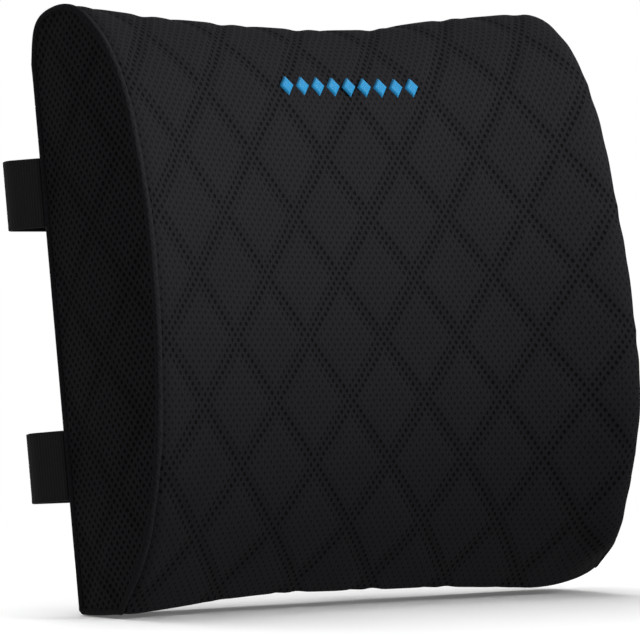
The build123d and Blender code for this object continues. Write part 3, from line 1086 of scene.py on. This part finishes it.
def build_front_and_sides():
    """The front panel, the gussets and the rolled seams between them."""
    quilted = air_mesh("front_mesh", (QUILT_WIDTH, QUILT_HEIGHT))
    side_quilt = (GUSSET_QUILT_WIDTH, GUSSET_QUILT_HEIGHT)
    side_cell = (5.0, 5.5)
    # the gusset's and the seam roll's black mesh is painted about a fifth lighter than the front's:
    # painted light on the same fabric
    side_mesh = air_mesh(
        "gusset_mesh", side_quilt, side_cell, (0.38, 0.26), faint=1.0, line_shade=0.85, painted_light_scale=1.22
    )
    seam_mesh = air_mesh("seam_mesh", None, side_cell, (0.45, 0.45), faint=0.3, painted_light_scale=1.2)
    front = front_panel(quilted)
    stand_for(front, "mesh_fabric", "front_panel")
    for side, name in ((-1, "left"), (1, "right")):
        panel = gusset(f"{name}_gusset_cover", side, side_mesh)
        stand_for(panel, "mesh_fabric", f"{name}_gusset")
        stand_for(seam_roll(f"{name}_seam_roll", side, seam_mesh), "mesh_fabric")


def build_back(plain):
    """The back panel, the hem and their welts."""
    rolled = air_mesh("welt_mesh", cell=(2.6, 2.4), holes=(0.3, 0), faint=0.3)
    back, hem = back_panels(plain)
    stand_for(back, "mesh_fabric", "back_panel")
    stand_for(hem, "mesh_fabric", "back_hem")
    for welt in back_welts(rolled):
        stand_for(welt, "mesh_fabric")


def build_filling():
    """The foam block and the thin bag round it."""
    foam = filling("foam_block", FOAM_INSET, open_foam())
    liner = filling("liner_bag", LINER_INSET, liner_knit())
    stand_for(foam, "foam", "foam_core")
    stand_for(liner, "liner", "inner_liner")


def build_trim(thread, plain):
    """The badge, the label, the stitches of the label and the zip, and the patches over the zip's ends."""
    stand_for(badge(satin_thread()), "badge_thread", "badge")
    stand_for(care_label(label_cloth()), "label", "care_label")
    label_row = [(x, 2.0, LABEL_HIGH - 2) for x in (LABEL_LEFT + 2, LABEL_RIGHT - 2)]
    sewing = stitches("label_stitches", [(label_row, OUT_OF_BACK)], thread, length=2.2)
    stand_for(sewing, "mesh_fabric")
    zip_rows = [
        ([(-ZIP_END, 0.55, z), (ZIP_END, 0.55, z)], OUT_OF_BACK)
        for z in (ZIP_Z - ZIP_OPENING / 2 - 3, ZIP_Z + ZIP_OPENING / 2 + 3)
    ]
    stand_for(stitches("zip_stitches", zip_rows, thread), "mesh_fabric")
    for name, side in (("left", -1), ("right", 1)):
        stand_for(zip_garage(f"zip_garage_{name}", side, plain), "mesh_fabric")


def build_zip():
    """The zip's tapes, coils, stops, slider and pull."""
    sides = {"lower": -1, "upper": 1}
    tape, nylon = zip_tape(), coil_nylon()
    for name, side in sides.items():
        stand_for(zip_tape_sheet(f"zip_tape_{name}_woven", side, tape), "zip_tape", f"zip_tape_{name}")
    for name, side in sides.items():
        stand_for(zip_coil(f"zip_coil_{name}_turns", side, nylon), "zip_coil", f"zip_coil_{name}")
    lacquer = black_lacquer()
    for node in ("zip_stop_left", "zip_stop_right", "zip_slider", "zip_pull"):
        dress_node(node, lacquer, bevel=0.15)


def build_buckles():
    """The moulded pieces of both straps."""
    plastic = moulded_plastic()
    for strap in STRAP_HEIGHTS:
        for node in ("keeper", "buckle_socket", "buckle_plug", "prong_top", "prong_bottom"):
            dress_node(f"{strap}_{node}", plastic, bevel=0.35)


def light(name, place, target, size, power, spread=180):
    """A soft lamp, size (wide, tall) metres, that points at target with a beam spread degrees wide."""
    data = bpy.data.lights.new(name, "AREA")
    data.shape = "RECTANGLE"
    data.size, data.size_y = size
    data.energy = power
    data.spread = math.radians(spread)
    lamp = bpy.data.objects.new(name, data)
    lamp.location = place
    lamp.rotation_mode = "QUATERNION"
    lamp.rotation_quaternion = (Vector(target) - Vector(place)).to_track_quat("-Z", "Y")
    lamp.visible_camera = False
    bpy.context.scene.collection.objects.link(lamp)
    return lamp


def studio_floor():
    """A pale floor that fades out round the object, into the white surround."""
    paint = Paint("studio_floor", (0.9, 0.9, 0.9), 0.9, specular=0.0)
    reach = paint.add("ShaderNodeVectorMath", [paint.solid()], operation="LENGTH").outputs["Value"]
    paint.give(paint.shader.inputs["Alpha"], paint.ease(reach, 330, 560, 1, 0))
    paint.shader.inputs["Emission Color"].default_value = (1, 1, 1, 1)
    paint.shader.inputs["Emission Strength"].default_value = 0.1
    mesh = bpy.data.meshes.new("studio_floor")
    mesh.from_pydata([(-1, -1, 0), (1, -1, 0), (1, 1, 0), (-1, 1, 0)], [], [(0, 1, 2, 3)])
    mesh.materials.append(paint.material)
    floor = bpy.data.objects.new("studio_floor", mesh)
    bpy.context.scene.collection.objects.link(floor)
    floor.visible_diffuse = False
    floor.visible_glossy = False
    return floor


def surround():
    """A world that looks white to the camera, and lights the object only a little."""
    world = bpy.data.worlds.new("studio")
    world.use_nodes = True
    bpy.context.scene.world = world
    tree = world.node_tree
    background = tree.nodes["Background"]
    background.inputs["Color"].default_value = (1, 1, 1, 1)
    seen = tree.nodes.new("ShaderNodeLightPath").outputs["Is Camera Ray"]
    strength = tree.nodes.new("ShaderNodeMapRange")
    strength.inputs["To Min"].default_value = 0.34
    strength.inputs["To Max"].default_value = 1.0
    tree.links.new(strength.inputs["Value"], seen)
    tree.links.new(background.inputs["Strength"], strength.outputs[0])


def lamps(floor):
    """Two lamps for the floor alone, two for everything, and one behind that misses the floor."""
    middle = (0, 0, 0.16)
    lit_floor = bpy.data.collections.new("lit_floor")
    lit_floor.objects.link(floor)
    all_but_floor = bpy.data.collections.new("all_but_floor")
    all_but_floor.objects.link(floor)
    all_but_floor.collection_objects[0].light_linking.link_state = "EXCLUDE"
    for name, y, power in (("floor_front", -0.9, 12), ("floor_back", 1.0, 86)):
        above = light(name, (0.1, y, 3.0), middle, (2.4, 2.4), power)
        above.light_linking.receiver_collection = lit_floor
    light("softbox_high", (0.7, -1.3, 1.0), (0.03, -0.05, 0.27), (0.8, 0.2), 0.44, spread=26)
    light("softbox_low", (0.9, -1.6, 0.5), (0.03, -0.05, 0.32), (0.8, 0.15), 0.64, spread=20)
    behind = light("softbox_behind", (0.5, 1.9, 0.3), middle, (0.9, 0.9), 8, spread=50)
    behind.light_linking.receiver_collection = all_but_floor


def camera():
    """The camera, upright and with no shift."""
    data = bpy.data.cameras.new("camera")
    data.lens = LENS
    data.sensor_width = SENSOR
    data.clip_end = 100
    body = bpy.data.objects.new("camera", data)
    body.location = EYE
    body.rotation_mode = "QUATERNION"
    body.rotation_quaternion = (TARGET - EYE).to_track_quat("-Z", "Y")
    bpy.context.scene.collection.objects.link(body)
    bpy.context.scene.camera = body


camera()
surround()
lamps(studio_floor())
bpy.context.scene.view_settings.view_transform = "Standard"
plain_mesh = air_mesh("back_mesh", holes=(0.35, 0))
sewing = sewing_thread()
build_front_and_sides()
build_back(plain_mesh)
build_filling()
build_trim(sewing, plain_mesh)
build_zip()
build_buckles()
straps(webbing_weave(), sewing)
